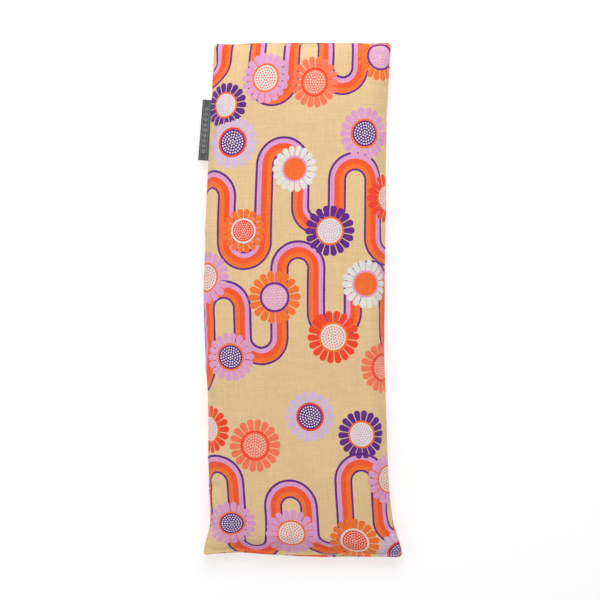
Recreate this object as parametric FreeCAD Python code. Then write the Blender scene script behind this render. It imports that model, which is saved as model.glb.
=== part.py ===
import FreeCAD, Part

import math
import os

# A grain-filled pillow of printed cloth, lying flat. Millimetres: X across it, Y along it, Z up.
# The origin is on the flat face that it rests on, half way along its length.
# The loose cover holds a smaller calico bag, which holds the grain.

# Filled size as it lies
TOP_END_Y = 235.0  # the sewn end
LIP_EDGE_Y = -235.0  # the closing end: outer fold of its edge-stitched lip
LIP_DEPTH = 3.5
LIP_CORNER_RADIUS = 3.0
MIDDLE_HALF_WIDTH = 82.5
TOP_END_TAPER = 1.7  # the sewn end is this much narrower each side
TAPER_START_Y = 60.0
TAPER_RUN = 120.0
CORNER_FLARE = 7.8  # the lip's corners lie flat, so they stand out this much each side
CORNER_FLARE_REACH = 18.0
CENTRE_BOW = 7.2  # the pillow lies in a gentle bow, with both ends towards +X
THICKNESS = 27.0
SEAM_Z = 13.0
SIDE_ROUND = 24.0  # how far across each side's rounding reaches
PAST_SEAM = 1.0
QUARTER_WEIGHT = math.sqrt(0.5)  # of the middle pole of an exact quarter ellipse
END_ROUND = 25.0  # length over which an end rises to the full thickness
END_RISE_ANGLES = [13.0, 25.0, 38.0, 52.0, 68.0, 90.0]  # the first is where the end is cut off flat
MIDDLE_SPANS = 12
MIDDLE_SPACING_POWER = 1.6  # over 1 puts more sections near the flared closing end

# Layers, measured inwards from the outside of the cover
COVER_CLOTH = 0.5
CALICO = 0.4
COVER_SLACK = 1.2  # between the cover's turned-in allowances and the inner bag
GRAIN_CLEARANCE = 0.5
COVER_INSIDE = COVER_CLOTH
COVER_ALLOWANCE_INSIDE = COVER_INSIDE + COVER_CLOTH
BAG_OUTSIDE = COVER_ALLOWANCE_INSIDE + COVER_SLACK
BAG_INSIDE = BAG_OUTSIDE + CALICO
BAG_ALLOWANCE_INSIDE = BAG_INSIDE + CALICO
GRAIN_OUTSIDE = BAG_ALLOWANCE_INSIDE + GRAIN_CLEARANCE
COVER_ALLOWANCE = 8.0
BAG_ALLOWANCE = 6.0

# Thread
THREAD = 0.3
LIP_STITCH_PITCH = 3.0
LIP_STITCH_LENGTH = 2.5
LIP_STITCH_INSET = 2.4  # from the lip's outer fold
LIP_STITCH_MARGIN = 5.0  # from the lip's two ends
THREAD_END_GAP = 1.0

# Woven tape label, folded double, in the left seam
LABEL_LENGTH = 55.0
LABEL_CENTRE_Y = 154.0
LABEL_SHOWS = 8.4
LABEL_THICKNESS = 0.8
LABEL_IN_SEAM = 7.0
LABEL_ROOT_PROUD = 0.3
LABEL_HINGE_GAP = 0.35
LABEL_AIR = 0.05  # between the label's hidden end and the allowance it lies on

FAR = 400.0  # half size of the cutting blocks


def centre_x(y):
    """The pillow's centre line, which is bowed."""
    along = y / TOP_END_Y
    return CENTRE_BOW * (along * along - 1.0 / 3.0)


def half_width(y):
    """Half the filled width at the seam."""
    rise = min(1.0, max(0.0, (y - TAPER_START_Y) / TAPER_RUN))
    taper = TOP_END_TAPER * rise * rise * (3.0 - 2.0 * rise)
    from_corner = (y - LIP_EDGE_Y - LIP_DEPTH) / CORNER_FLARE_REACH
    flare = CORNER_FLARE * math.exp(-from_corner * from_corner)
    return MIDDLE_HALF_WIDTH - taper + flare


def seam_x(side, y, inset):
    """X of the side seam: side is -1 for the left and 1 for the right."""
    return centre_x(y) + side * (half_width(y) - inset)


def end_rise(angle_deg):
    """How far in from an end, and the share of the full thickness that is reached there."""
    angle = math.radians(angle_deg)
    return END_ROUND * (1.0 - math.cos(angle)), math.sin(angle)


def end_faces(inset):
    """Y of the two ends of a layer, the closing end first, where they are cut off flat."""
    cut_off = end_rise(END_RISE_ANGLES[0])[0]
    return LIP_EDGE_Y + LIP_DEPTH + inset + cut_off, TOP_END_Y - inset - cut_off


def block(x0, x1, y0, y1, z0, z1):
    return Part.makeBox(x1 - x0, y1 - y0, z1 - z0, FreeCAD.Vector(x0, y0, z0))


def slab(z0, z1):
    """Everything between two heights."""
    return block(-FAR, FAR, -FAR, FAR, z0, z1)


def section_wire(y, inset, share, side):
    """Closed outline of one half across the pillow: side is 1 above the seam and -1 below it.

    It runs a little past the seam plane, so that the plane can cut it.
    """
    middle = centre_x(y)
    half_x = half_width(y) - inset
    round_x = SIDE_ROUND - inset
    flat_x = half_x - round_x
    rise = side * (THICKNESS - SEAM_Z - inset) * share

    def at(x, z):
        return FreeCAD.Vector(middle + x, y, SEAM_Z + z)

    def quarter(hand):
        poles = [at(hand * half_x, 0), at(hand * half_x, rise), at(hand * flat_x, rise)]
        curve = Part.BSplineCurve()
        curve.buildFromPolesMultsKnots(poles, [3, 3], [0, 1], False, 2, [1, QUARTER_WEIGHT, 1])
        return curve.toShape()

    past = -side * PAST_SEAM
    return Part.Wire(
        [
            Part.makeLine(at(-half_x, past), at(half_x, past)),
            Part.makeLine(at(half_x, past), at(half_x, 0)),
            quarter(1),
            Part.makeLine(at(flat_x, rise), at(-flat_x, rise)),
            quarter(-1),
            Part.makeLine(at(-half_x, 0), at(-half_x, past)),
        ]
    )


def stations(inset):
    """Where the sections of a layer are along the pillow, each with its share of the thickness."""
    first = LIP_EDGE_Y + LIP_DEPTH + inset
    last = TOP_END_Y - inset
    rises = [end_rise(angle) for angle in END_RISE_ANGLES]
    closing_end = [(first + run, share) for run, share in rises]
    sewn_end = [(last - run, share) for run, share in reversed(rises)]
    low = first + END_ROUND
    high = last - END_ROUND
    middle = []
    for i in range(1, MIDDLE_SPANS):
        along = (i / MIDDLE_SPANS) ** MIDDLE_SPACING_POWER
        middle.append((low + (high - low) * along, 1.0))
    return closing_end + middle + sewn_end


def half_form(inset, side):
    """Half the pillow's form at one layer, a little past the seam, and flat underneath."""
    wires = [section_wire(y, inset, share, side) for y, share in stations(inset)]
    return Part.makeLoft(wires, True, False).common(slab(inset, FAR))


def half_layer(inset, side):
    """Half the pillow's form at one layer, cut off at the seam."""
    return half_form(inset, side).common(slab(SEAM_Z, FAR) if side > 0 else slab(-FAR, SEAM_Z))


def room_inside(wall_inside, allowance_inside, allowance, side):
    """The room in half a sewn bag, whose seam allowances lie turned in against its walls."""
    turn_back = SEAM_Z + side * allowance
    beyond, before = slab(turn_back, FAR), slab(-FAR, turn_back)
    if side < 0:
        beyond, before = before, beyond
    away_from_seam = half_form(wall_inside, side).common(beyond)
    along_seam = half_form(allowance_inside, side).common(before)
    return [away_from_seam, along_seam]


def side_thread(side, inset):
    """Seam thread along one side, as a strip in the middle of the two turned cloths."""
    edges = []
    ends = []
    for depth in (inset - THREAD / 2, inset + THREAD / 2):
        points = []
        for y, share in stations(inset):
            points.append(FreeCAD.Vector(seam_x(side, y, depth), y, SEAM_Z - THREAD / 2))
        curve = Part.BSplineCurve()
        curve.interpolate(Points=points)
        edges.append(curve.toShape())
        ends.append((points[0], points[-1]))
    caps = [Part.makeLine(outer, inner) for outer, inner in zip(*ends)]
    face = Part.Face(Part.Wire(Part.__sortEdges__(edges + caps)))
    low, high = end_faces(inset)
    reach = block(-FAR, FAR, low + THREAD_END_GAP, high - THREAD_END_GAP, 0, FAR)
    return face.extrude(FreeCAD.Vector(0, 0, THREAD)).common(reach)


def end_thread(y, inset):
    """Seam thread straight across one end, where the end is cut off flat."""
    left = seam_x(-1, y, inset) + THREAD_END_GAP
    right = seam_x(1, y, inset) - THREAD_END_GAP
    half = THREAD / 2
    return block(left, right, y - half, y + half, SEAM_Z - half, SEAM_Z + half)


def lip(side):
    """One panel's half of the closing end's flat lip: the cloth and its turned-in edge."""
    root_y = end_faces(COVER_CLOTH / 2)[0]
    left = seam_x(-1, root_y, 0.0)
    right = seam_x(1, root_y, 0.0)
    z = sorted((SEAM_Z, SEAM_Z + side * 2 * COVER_CLOTH))
    strip = block(left, right, LIP_EDGE_Y, root_y, z[0], z[1])
    corners = []
    for edge in strip.Edges:
        box = edge.BoundBox
        if box.ZLength > COVER_CLOTH and box.YMax < LIP_EDGE_Y + COVER_CLOTH:
            corners.append(edge)
    return strip.makeFillet(LIP_CORNER_RADIUS, corners)


def lip_stitches():
    """Edge-stitching along the lip, showing on both of its faces."""
    y = LIP_EDGE_Y + LIP_STITCH_INSET
    start = seam_x(-1, LIP_EDGE_Y, 0.0) + LIP_STITCH_MARGIN
    stop = seam_x(1, LIP_EDGE_Y, 0.0) - LIP_STITCH_MARGIN
    stitches = []
    for i in range(int((stop - start) / LIP_STITCH_PITCH)):
        x = start + i * LIP_STITCH_PITCH
        for z in (SEAM_Z + 2 * COVER_CLOTH, SEAM_Z - 2 * COVER_CLOTH - THREAD):
            stitches.append(
                block(x, x + LIP_STITCH_LENGTH, y - THREAD / 2, y + THREAD / 2, z, z + THREAD)
            )
    return Part.makeCompound(stitches)


def at_label(shape):
    """Puts a shape drawn at the origin, with the seam along Y, where the label is sewn in."""
    ahead = seam_x(-1, LABEL_CENTRE_Y + 1.0, 0.0)
    behind = seam_x(-1, LABEL_CENTRE_Y - 1.0, 0.0)
    turn = -math.degrees(math.atan2(ahead - behind, 2.0))
    base = FreeCAD.Vector(seam_x(-1, LABEL_CENTRE_Y, 0.0), LABEL_CENTRE_Y, SEAM_Z)
    placed = shape.copy()
    placed.Placement = FreeCAD.Placement(base, FreeCAD.Rotation(FreeCAD.Vector(0, 0, 1), turn))
    return placed


def label_strip(x0, x1, z0, z1):
    return at_label(block(x0, x1, -LABEL_LENGTH / 2, LABEL_LENGTH / 2, z0, z1))


def label_slot():
    """What the label takes out of the two panels' edges."""
    half = LABEL_THICKNESS / 2
    return label_strip(-COVER_SLACK, COVER_ALLOWANCE_INSIDE + COVER_SLACK, -half, half)


def label_seam_edge(threads):
    """The label's raw ends: through the seam, then up the inside of the front allowance."""
    half = LABEL_THICKNESS / 2
    depth = COVER_ALLOWANCE_INSIDE + LABEL_AIR
    through = label_strip(-LABEL_ROOT_PROUD, depth + half, -half, half)
    turned = half_layer(depth, 1).cut(half_layer(depth + LABEL_THICKNESS, 1))
    turned = turned.common(label_strip(-LABEL_LENGTH, LABEL_LENGTH, 0, LABEL_IN_SEAM))
    return through.fuse(turned).cut(threads)


def hinge_x():
    """Where the flap bends, in the label's own frame."""
    return -(LABEL_ROOT_PROUD + LABEL_HINGE_GAP + LABEL_THICKNESS / 2)


def label_flap():
    """The part of the label that stands out of the seam and can be flipped up or down."""
    half = LABEL_THICKNESS / 2
    outer = -(LABEL_SHOWS - half)
    start = FreeCAD.Vector(hinge_x(), -LABEL_LENGTH / 2, half)
    stop = FreeCAD.Vector(outer, -LABEL_LENGTH / 2, half)
    down = FreeCAD.Vector(0, 0, -LABEL_THICKNESS)
    bend = FreeCAD.Vector(hinge_x() + half, start.y, 0)
    fold = FreeCAD.Vector(outer - half, start.y, 0)
    outline = Part.Wire(
        [
            Part.makeLine(start, stop),
            Part.Arc(stop, fold, stop + down).toShape(),
            Part.makeLine(stop + down, start + down),
            Part.Arc(start + down, bend, start).toShape(),
        ]
    )
    return at_label(Part.Face(outline).extrude(FreeCAD.Vector(0, LABEL_LENGTH, 0)))


def cover_pieces():
    top = end_faces(COVER_INSIDE)[1]
    threads = {
        "cover_left_seam_thread": side_thread(-1, COVER_INSIDE),
        "cover_right_seam_thread": side_thread(1, COVER_INSIDE),
        "cover_top_seam_thread": end_thread(top, COVER_INSIDE),
    }
    pieces = {}
    for name, side in (("cover_front_panel", 1), ("cover_back_panel", -1)):
        room = room_inside(COVER_INSIDE, COVER_ALLOWANCE_INSIDE, COVER_ALLOWANCE, side)
        cut_away = room + [label_slot()] + list(threads.values())
        pieces[name] = half_layer(0.0, side).fuse(lip(side)).cut(cut_away)
    pieces.update(threads)
    pieces["cover_closing_thread"] = lip_stitches()
    pieces["label_seam_edge"] = label_seam_edge(threads["cover_left_seam_thread"])
    pieces["label_flap"] = label_flap()
    return pieces


def inner_bag_pieces():
    low, high = end_faces(BAG_INSIDE)
    seam = [side_thread(-1, BAG_INSIDE), end_thread(high, BAG_INSIDE), side_thread(1, BAG_INSIDE)]
    closing = end_thread(low, BAG_INSIDE)
    pieces = {
        "inner_bag_seam_thread": Part.makeCompound(seam),
        "inner_bag_closing_thread": closing,
    }
    for name, side in (("inner_bag_front_panel", 1), ("inner_bag_back_panel", -1)):
        room = room_inside(BAG_INSIDE, BAG_ALLOWANCE_INSIDE, BAG_ALLOWANCE, side)
        pieces[name] = half_layer(BAG_OUTSIDE, side).cut(room + seam + [closing])
    return pieces


def main():
    os.makedirs("parts", exist_ok=True)
    pieces = cover_pieces()
    pieces.update(inner_bag_pieces())
    pieces["grain_filling"] = half_layer(GRAIN_OUTSIDE, 1).fuse(half_layer(GRAIN_OUTSIDE, -1))
    for name, shape in pieces.items():
        shape.exportStep("parts/" + name + ".step")
        litres = shape.Volume / 1.0e6
        print(name, "solids", len(shape.Solids), "valid", shape.isValid(), "litres", round(litres, 4))
    pivot = at_label(Part.Vertex(hinge_x(), 0, 0)).Point
    along = at_label(Part.Vertex(hinge_x(), 1, 0)).Point.sub(pivot)
    print("label hinge at", pivot, "along", along)


main()
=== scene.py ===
import math

import bpy
import numpy as np
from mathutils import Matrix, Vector, noise


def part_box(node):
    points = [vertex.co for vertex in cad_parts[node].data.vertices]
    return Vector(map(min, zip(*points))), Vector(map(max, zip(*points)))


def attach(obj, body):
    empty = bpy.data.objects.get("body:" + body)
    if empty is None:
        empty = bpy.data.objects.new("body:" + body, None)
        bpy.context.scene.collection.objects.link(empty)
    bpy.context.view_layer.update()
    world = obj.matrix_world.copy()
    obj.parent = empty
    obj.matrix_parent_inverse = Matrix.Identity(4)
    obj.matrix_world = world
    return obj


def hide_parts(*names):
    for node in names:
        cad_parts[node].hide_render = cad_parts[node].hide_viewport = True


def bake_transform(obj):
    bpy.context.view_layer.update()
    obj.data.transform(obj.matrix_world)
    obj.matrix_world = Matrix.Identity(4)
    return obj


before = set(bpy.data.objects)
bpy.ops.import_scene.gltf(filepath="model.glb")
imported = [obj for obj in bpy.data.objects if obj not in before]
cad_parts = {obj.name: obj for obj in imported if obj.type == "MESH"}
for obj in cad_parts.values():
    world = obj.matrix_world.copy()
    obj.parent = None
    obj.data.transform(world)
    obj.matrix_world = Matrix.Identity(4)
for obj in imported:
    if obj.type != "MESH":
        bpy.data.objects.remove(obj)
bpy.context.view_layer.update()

MM = 0.001

# ---------------- where the pillow lies

PANEL_LOW, PANEL_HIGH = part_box("cover_front_panel")
SEAM_Z = PANEL_LOW.z
LIP_EDGE_Y = PANEL_LOW.y
TOP_SEAM_Y = PANEL_HIGH.y
LIP_DEPTH = 3.5 * MM
THICKNESS = 27.0 * MM
HALF_LENGTH = 235.0 * MM

# The outline of the design, in metres
MIDDLE_HALF_WIDTH = 82.5 * MM
TOP_END_TAPER = 1.7 * MM
TAPER_START_Y = 60.0 * MM
TAPER_RUN = 120.0 * MM
CORNER_FLARE = 7.8 * MM
CORNER_FLARE_REACH = 18.0 * MM
CENTRE_BOW = 7.2 * MM

# The cover as it is sewn, before it is filled
FLAT_WIDTH = 180.0 * MM
FLAT_LENGTH = 473.0 * MM  # between the top seam and the edge-stitching
CLOTH = 0.5 * MM
COVER_ALLOWANCE = 8.0 * MM
COVER_FOLD = CLOTH + 0.025 * MM
SEAM_GAP = 0.03 * MM
CELLS_ACROSS = 30
CELLS_ALONG = 79
FINER = 4

# The inner bag and the grain, as depths below the cover's outside
BAG_DEPTH = 2.4 * MM
BAG_CLOTH = 0.4 * MM
BAG_ALLOWANCE = 6.0 * MM
BAG_FOLD = BAG_CLOTH + 0.02 * MM
BAG_NARROWER = 0.97
BAG_SHORTER = 0.99
GRAIN_DEPTH = 3.6 * MM

# The tab of folded tape in the left seam
TAB_MIDDLE_Y = 154.0 * MM
TAB_LENGTH = 55.0 * MM
TAB_SHOWS_AT_TOP = 7.8 * MM
TAB_SHOWS_AT_BOTTOM = 9.0 * MM
TAPE = 0.34 * MM


def ease(x):
    x = np.clip(x, 0.0, 1.0)
    return x * x * (3.0 - 2.0 * x)


def centre_x(y):
    along = y / HALF_LENGTH
    return CENTRE_BOW * (along * along - 1.0 / 3.0)


def half_width(y):
    taper = TOP_END_TAPER * ease((y - TAPER_START_Y) / TAPER_RUN)
    from_corner = (y - LIP_EDGE_Y - LIP_DEPTH) / CORNER_FLARE_REACH
    return MIDDLE_HALF_WIDTH - taper + CORNER_FLARE * math.exp(-from_corner * from_corner)


def bump_at(y, middle, reach):
    return math.exp(-((y - middle) / reach) ** 2)


def left_edge(y):
    slack = 1.7 * bump_at(y, -0.097, 0.036) - 1.2 * bump_at(y, 0.004, 0.030)
    return centre_x(y) - half_width(y) + slack * MM


def right_edge(y):
    slack = 1.6 * bump_at(y, -0.203, 0.024) - 0.8 * bump_at(y, -0.05, 0.03)
    return centre_x(y) + half_width(y) + slack * MM


def closing_edge(x):
    """The stitched line at the closed end, which isn't quite straight."""
    wave = 2.4 * bump_at(x, -0.050, 0.018) - 1.6 * bump_at(x, -0.090, 0.012)
    return LIP_EDGE_Y + LIP_DEPTH + 1.2 * MM - 0.018 * x + wave * MM


def top_edge(x):
    return TOP_SEAM_Y + 0.2 * MM - 1.0 * MM * (x / 0.08) ** 2 - 1.3 * MM * bump_at(x, -0.062, 0.016)


# ---------------- meshes and objects

def square(reach, z):
    return [(-reach, -reach, z), (reach, -reach, z), (reach, reach, z), (-reach, reach, z)]


def new_piece(name, points, faces, edges=()):
    mesh = bpy.data.meshes.new(name)
    mesh.from_pydata([tuple(p) for p in points], list(edges), faces)
    mesh.update()
    piece = bpy.data.objects.new(name, mesh)
    bpy.context.scene.collection.objects.link(piece)
    return piece


def settle(piece):
    """Turns a piece with its modifiers into a plain mesh."""
    view = bpy.context.evaluated_depsgraph_get()
    mesh = bpy.data.meshes.new_from_object(piece.evaluated_get(view))
    mesh.name = piece.name
    piece.modifiers.clear()
    piece.data = mesh
    mesh.polygons.foreach_set("use_smooth", [True] * len(mesh.polygons))


def grid_faces(number, side=1):
    """Four-sided faces between a grid's points, wound to face out on that side."""
    a, b, c, d = number[:-1, :-1], number[1:, :-1], number[1:, 1:], number[:-1, 1:]
    return np.stack([a, b, c, d], axis=-1).reshape(-1, 4)[:, ::side].tolist()


def lay_flat(piece, places):
    """Keeps each point's place on the flat cloth, in metres, as a UV map."""
    layer = piece.data.uv_layers.new(name="cloth")
    corners = np.zeros(len(piece.data.loops), int)
    piece.data.loops.foreach_get("vertex_index", corners)
    layer.data.foreach_set("uv", places[corners].ravel())


def give_thickness(piece, thickness, offset):
    wall = piece.modifiers.new("thickness", "SOLIDIFY")
    wall.thickness = thickness
    wall.offset = offset
    settle(piece)


def dress(piece, finish):
    piece.data.materials.clear()
    piece.data.materials.append(finish)


def positions(mesh):
    flat = np.zeros(len(mesh.vertices) * 3)
    mesh.vertices.foreach_get("co", flat)
    return flat.reshape(-1, 3)


# ---------------- the filled cover, by cloth simulation

PLATE_REACH = 0.4
PLATE_CLEARANCE = 1.0 * MM
START_BULGE = 4.0 * MM
FILLING_PRESSURE = 8.0
FILLING_FRAMES = 26
END_FIT_REACH = 55.0 * MM


def pressing_plate(name, z, facing):
    """A flat plate that keeps the filled bag from going round, as its own weight does."""
    plate = new_piece(name, square(PLATE_REACH, z), [(0, 1, 2, 3)[::facing]])
    plate.modifiers.new("plate", "COLLISION")
    plate.collision.thickness_outer = 0.5 * MM
    plate.collision.cloth_friction = 2.0
    return plate


def filled_bag():
    """Two flat panels sewn round their edge and filled. Gives each panel's grid of points."""
    across = np.linspace(-FLAT_WIDTH / 2, FLAT_WIDTH / 2, CELLS_ACROSS + 1)
    along = np.linspace(-FLAT_LENGTH / 2, FLAT_LENGTH / 2, CELLS_ALONG + 1)
    points = []
    faces = []
    number = {}
    for side in (1, -1):
        grid = np.zeros((CELLS_ACROSS + 1, CELLS_ALONG + 1), int)
        for i, x in enumerate(across):
            for j, y in enumerate(along):
                on_edge = i in (0, CELLS_ACROSS) or j in (0, CELLS_ALONG)
                if side < 0 and on_edge:
                    grid[i, j] = number[1][i, j]
                    continue
                u = 2 * x / FLAT_WIDTH
                v = 2 * y / FLAT_LENGTH
                bulge = side * START_BULGE * (1 - u ** 4) * (1 - v ** 8)
                grid[i, j] = len(points)
                points.append((x, y, SEAM_Z + bulge))
        number[side] = grid
        for i in range(CELLS_ACROSS):
            for j in range(CELLS_ALONG):
                face = [grid[i, j], grid[i + 1, j], grid[i + 1, j + 1], grid[i, j + 1]]
                faces.append([int(k) for k in face[::side]])
    bag = new_piece("bag_being_filled", points, faces)
    plates = [
        pressing_plate("plate_under", SEAM_Z - THICKNESS / 2 - PLATE_CLEARANCE, 1),
        pressing_plate("plate_over", SEAM_Z + THICKNESS / 2 + PLATE_CLEARANCE, -1),
    ]
    cloth = bag.modifiers.new("filling", "CLOTH")
    settings = cloth.settings
    settings.quality = 8
    settings.mass = 0.05
    settings.tension_stiffness = settings.compression_stiffness = 30.0
    settings.shear_stiffness = 12.0
    settings.bending_stiffness = 0.3
    settings.tension_damping = settings.compression_damping = settings.shear_damping = 10.0
    settings.use_pressure = True
    settings.uniform_pressure_force = FILLING_PRESSURE
    settings.effector_weights.gravity = 0.0
    cloth.collision_settings.distance_min = 1.0 * MM
    cloth.collision_settings.use_self_collision = False
    cloth.point_cache.frame_start = 1
    cloth.point_cache.frame_end = FILLING_FRAMES
    for moment in range(1, FILLING_FRAMES + 1):
        bpy.context.scene.frame_set(moment)
    view = bpy.context.evaluated_depsgraph_get()
    filled = positions(bag.evaluated_get(view).data)
    for piece in [bag] + plates:
        bpy.data.objects.remove(piece)
    bpy.context.scene.frame_set(1)
    return filled[number[1]], filled[number[-1]]


def running_mean(values, window):
    padded = np.pad(values, window, mode="edge")
    kernel = np.ones(2 * window + 1) / (2 * window + 1)
    return np.convolve(padded, kernel, mode="valid")


def laid_out(front, back):
    """Fits the filled bag to the design's outline, keeping its own creases."""
    both = np.stack([front, back])
    x = both[..., 0]
    left = running_mean(x.min(axis=(0, 1)), 4)
    right = running_mean(x.max(axis=(0, 1)), 4)
    share = (x - left) / (right - left)
    y = both[..., 1]
    low_end = both[0, :, 0, 1]
    high_end = both[0, :, -1, 1]
    flat_x = np.linspace(left_edge(LIP_EDGE_Y), right_edge(LIP_EDGE_Y), len(low_end))
    low_wanted = np.array([closing_edge(v) for v in flat_x])
    high_wanted = np.array([top_edge(v) for v in flat_x * 0.9])
    to_low = ease(1 - (y - low_end[None, :, None]) / END_FIT_REACH)
    to_high = ease(1 - (high_end[None, :, None] - y) / END_FIT_REACH)
    y = y + to_low * (low_wanted - low_end)[None, :, None]
    y = y + to_high * (high_wanted - high_end)[None, :, None]
    row_y = y[0, CELLS_ACROSS // 2]
    left_wanted = np.array([left_edge(v) for v in row_y])
    right_wanted = np.array([right_edge(v) for v in row_y])
    x = left_wanted + share * (right_wanted - left_wanted)
    z = both[..., 2]
    height = (z - z.min()) / (z.max() - z.min())
    seam_height = (SEAM_Z - z.min()) / (z.max() - z.min())
    power = math.log(SEAM_Z / THICKNESS) / math.log(seam_height)
    z = THICKNESS * height ** power
    placed = np.stack([x, y, z], axis=-1)
    placed[:, [0, -1], :, 2] = SEAM_Z
    placed[:, :, [0, -1], 2] = SEAM_Z
    return placed[0], placed[1]


def value_at(grid, i, j):
    """Values of a grid at fractional rows i and columns j, pair by pair."""
    i = np.asarray(i, float)
    j = np.asarray(j, float)
    i0 = np.clip(np.floor(i).astype(int), 0, grid.shape[0] - 2)
    j0 = np.clip(np.floor(j).astype(int), 0, grid.shape[1] - 2)
    fi = (i - i0)[..., None]
    fj = (j - j0)[..., None]
    low = grid[i0, j0] * (1 - fi) + grid[i0 + 1, j0] * fi
    high = grid[i0, j0 + 1] * (1 - fi) + grid[i0 + 1, j0 + 1] * fi
    return low * (1 - fj) + high * fj


def between(grid, i, j):
    """Values of a grid for every row i with every column j."""
    return value_at(grid, *np.meshgrid(i, j, indexing="ij"))


def smoother(grid, times, axis):
    """Rows of points put in between by the cubic through their neighbours."""
    grid = np.moveaxis(grid, axis, 0)
    first = 2 * grid[:1] - grid[1:2]
    last = 2 * grid[-1:] - grid[-2:-1]
    p = np.concatenate([first, grid, last])
    rows = []
    for k in range(times):
        t = k / times
        rows.append(
            0.5 * (
                2 * p[1:-2] + (p[2:-1] - p[:-3]) * t
                + (2 * p[:-3] - 5 * p[1:-2] + 4 * p[2:-1] - p[3:]) * t ** 2
                + (3 * p[1:-2] - p[:-3] - 3 * p[2:-1] + p[3:]) * t ** 3
            )
        )
    fine = np.stack(rows, axis=1).reshape((-1,) + grid.shape[1:])
    return np.moveaxis(np.concatenate([fine, grid[-1:]]), 0, axis)


def unit(vectors):
    return vectors / np.maximum(np.linalg.norm(vectors, axis=-1, keepdims=True), 1e-12)


def outward(grid, side):
    return unit(np.cross(np.gradient(grid, axis=0), np.gradient(grid, axis=1)) * side)


def wavering(distance, seed, wavelength):
    """Smooth unrepeating wave between -1 and 1 along a seam."""
    return np.array([noise.noise((float(v) / wavelength, seed, 0.5)) for v in distance]) * 1.6


FRONT, BACK = [smoother(smoother(g, FINER, 0), FINER, 1) for g in laid_out(*filled_bag())]
ROWS_ACROSS, ROWS_ALONG = FRONT.shape[:2]
FLAT_U = np.linspace(-FLAT_WIDTH / 2, FLAT_WIDTH / 2, ROWS_ACROSS)
FLAT_V = np.linspace(-FLAT_LENGTH / 2, FLAT_LENGTH / 2, ROWS_ALONG)
STEP = FLAT_WIDTH / (ROWS_ACROSS - 1)
LIP_ROWS = 4
LIP_V = FLAT_V[0] - LIP_DEPTH * np.arange(LIP_ROWS, 0, -1) / LIP_ROWS
COVER_V = np.concatenate([LIP_V, FLAT_V])


def shared_normals():
    """Outward directions of both sides, the same along the seam that they share."""
    front = outward(FRONT, 1)
    back = outward(BACK, -1)
    mean = unit(front + back)
    edge = np.zeros(front.shape[:2], bool)
    edge[[0, -1], :] = True
    edge[:, [0, -1]] = True
    front[edge] = mean[edge]
    back[edge] = mean[edge]
    return front, back


FRONT_OUT, BACK_OUT = shared_normals()
SIDES = ((1, "front", FRONT, FRONT_OUT), (-1, "back", BACK, BACK_OUT))


# Gathers along the seams: wavelength, height, how far they reach in
GATHERS = [
    (7.0 * MM, 0.42 * MM, 4.0 * MM),
    (15.0 * MM, 0.75 * MM, 11.0 * MM),
    (34.0 * MM, 0.9 * MM, 24.0 * MM),
]
LEFT_SEED, RIGHT_SEED, LOW_SEED, HIGH_SEED = 0.0, 11.3, 23.9, 31.1
# Hollows and lumps over the grain: wavelength, height
LUMPS = [(60.0 * MM, 0.9 * MM), (22.0 * MM, 0.35 * MM), (6.0 * MM, 0.07 * MM)]
LUMPS_START = 25.0 * MM
SEAM_PULL = 0.35 * MM


def lying_cloth(grid, out, side):
    """The cover's outside: the filled shape with the cloth's own puckers, hollows and slack."""
    u, v = np.meshgrid(FLAT_U, FLAT_V, indexing="ij")
    from_sides = FLAT_WIDTH / 2 - np.abs(u)
    from_ends = FLAT_LENGTH / 2 - np.abs(v)
    lift = np.zeros(u.shape)
    for k, (wavelength, height, reach) in enumerate(GATHERS):
        seed = 3.7 * k + side
        left, right = (wavering(FLAT_V, seed + own, wavelength) for own in (LEFT_SEED, RIGHT_SEED))
        low, high = (wavering(FLAT_U, seed + own, wavelength) for own in (LOW_SEED, HIGH_SEED))
        along_sides = np.where(u < 0, left[None, :], right[None, :])
        along_ends = np.where(v < 0, low[:, None], high[:, None])
        for inset, wave in ((from_sides, along_sides), (from_ends, along_ends)):
            fade = np.exp(-((inset - 3.0 * MM) / reach) ** 2) * ease(inset / (2.0 * MM))
            lift += height * fade * wave
    for wavelength, height in LUMPS:
        coarse = max(1, int(wavelength / STEP / 6))
        field = np.array([
            [noise.noise((x / wavelength, y / wavelength, side * 5.1)) for y in FLAT_V[::coarse]]
            for x in FLAT_U[::coarse]
        ])[..., None]
        fine = between(field, np.arange(ROWS_ACROSS) / coarse, np.arange(ROWS_ALONG) / coarse)[..., 0]
        lift += height * fine * ease(np.minimum(from_sides, from_ends) / LUMPS_START)
    seam_pull = SEAM_PULL * np.exp(-(np.minimum(from_sides, from_ends) / (2.2 * MM)) ** 2)
    points = grid + out * (lift - seam_pull)[..., None]
    points[..., 2] = np.where(points[..., 2] < 0.0, points[..., 2] * 0.02, points[..., 2])
    return np.stack([points[..., 0], points[..., 1], np.clip(points[..., 2], 0.0, 1.0)], axis=-1)


def round_corners(points, u, v, radius):
    """Draws the corners in, as cloth turned through a seam never comes to a sharp point."""
    points = points.copy()
    for across, low_u in ((u - u[0], True), (u[-1] - u, False)):
        for along, low_v in ((v - v[0], True), (v[-1] - v, False)):
            a = np.clip(radius - across, 0, radius)[:, None] + np.zeros(len(v))
            b = np.clip(radius - along, 0, radius)[None, :] + np.zeros((len(u), 1))
            reach = np.maximum(np.hypot(a, b), 1e-9)
            scale = np.maximum(a, b) / reach
            points[..., 0] += (a - a * scale) * (1 if low_u else -1)
            points[..., 1] += (b - b * scale) * (1 if low_v else -1)
    return points


LIP_RISE = 6.0 * MM
TAB_OPENING = 0.42 * MM
LIP_WANDER = 0.35 * MM
LIP_FLUTTER = 0.16 * MM
BACK_LIP_LONGER = 1.1 * MM
FRONT_LIP_SHORTER = 1.6 * MM
STITCH_GROOVE = 0.28 * MM
COVER_CORNER = 4.5 * MM


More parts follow.
